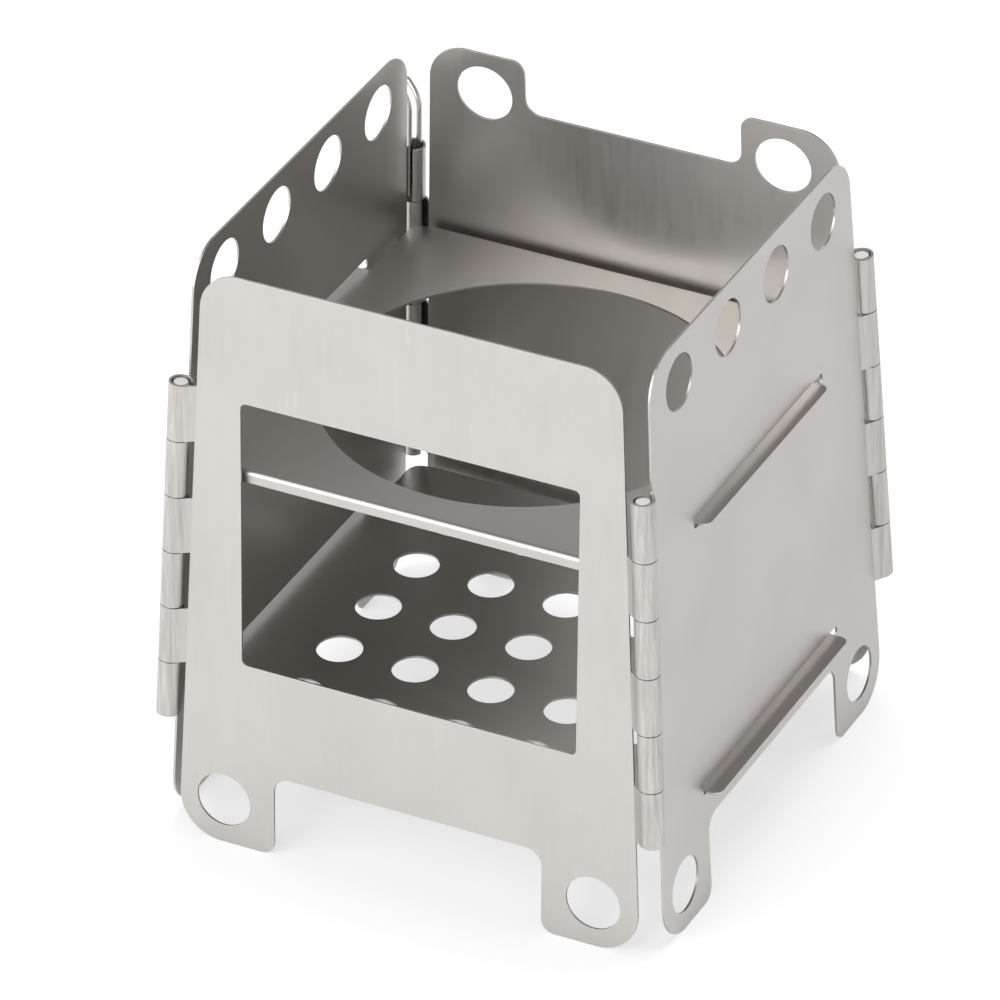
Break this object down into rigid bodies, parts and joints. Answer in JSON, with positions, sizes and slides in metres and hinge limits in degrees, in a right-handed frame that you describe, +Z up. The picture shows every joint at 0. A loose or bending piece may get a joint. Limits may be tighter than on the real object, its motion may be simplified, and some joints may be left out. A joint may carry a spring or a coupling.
{
  "type": "folding wood stove",
  "caption": "Small free-standing wood stove of four leaning hinged sheet panels with a fuel window, vent holes and feet, a loose burner plate and a perforated grate.",
  "frame": {"origin": "on the ground, under the middle of the stove", "axes": "+Z up, fuel window facing -Y, +X to the right as seen from the front"},
  "size_m": [0.1172, 0.115, 0.1332],
  "materials": {
    "titanium_sheet": "bead-blasted titanium, matt",
    "pin_wire": "drawn titanium wire"
  },
  "bodies": {
    "front": {"front_panel": "titanium_sheet", "hinge_pin_front_left": "pin_wire", "hinge_pin_front_right": "pin_wire"},
    "left": {"left_panel": "titanium_sheet"},
    "right": {"right_panel": "titanium_sheet", "hinge_pin_back_right": "pin_wire"},
    "back": {"back_panel": "titanium_sheet"},
    "lock_pin": {"lock_pin": "pin_wire"},
    "burner_plate": {"burner_plate": "titanium_sheet"},
    "grate_plate": {"grate_plate": "titanium_sheet"}
  },
  "joints": [
    {"name": "left_hinge", "type": "hinge", "parent": "front", "child": "left", "pos_m": [-0.0563, -0.0563, 0], "axis": [0.0472, 0.0472, 0.9978], "range_deg": [0, 89.8]},
    {"name": "right_hinge", "type": "hinge", "parent": "front", "child": "right", "pos_m": [0.0563, -0.0563, 0], "axis": [0.0472, -0.0472, -0.9978], "range_deg": [0, 89.8]},
    {"name": "back_hinge", "type": "hinge", "parent": "right", "child": "back", "pos_m": [0.0563, 0.0563, 0], "axis": [0.0472, 0.0472, -0.9978], "range_deg": [0, 89.8]},
    {"name": "lock_pull", "type": "slide", "parent": "left", "child": "lock_pin", "axis": [0.0472, -0.0472, 0.9978], "range_m": [0, 0.085]},
    {"name": "burner_lift", "type": "slide", "parent": "front", "child": "burner_plate", "axis": [0, 0, 1], "range_m": [0, 0.0017]},
    {"name": "grate_lift", "type": "slide", "parent": "front", "child": "grate_plate", "axis": [0, 0, 1], "range_m": [0, 0.0017]}
  ]
}
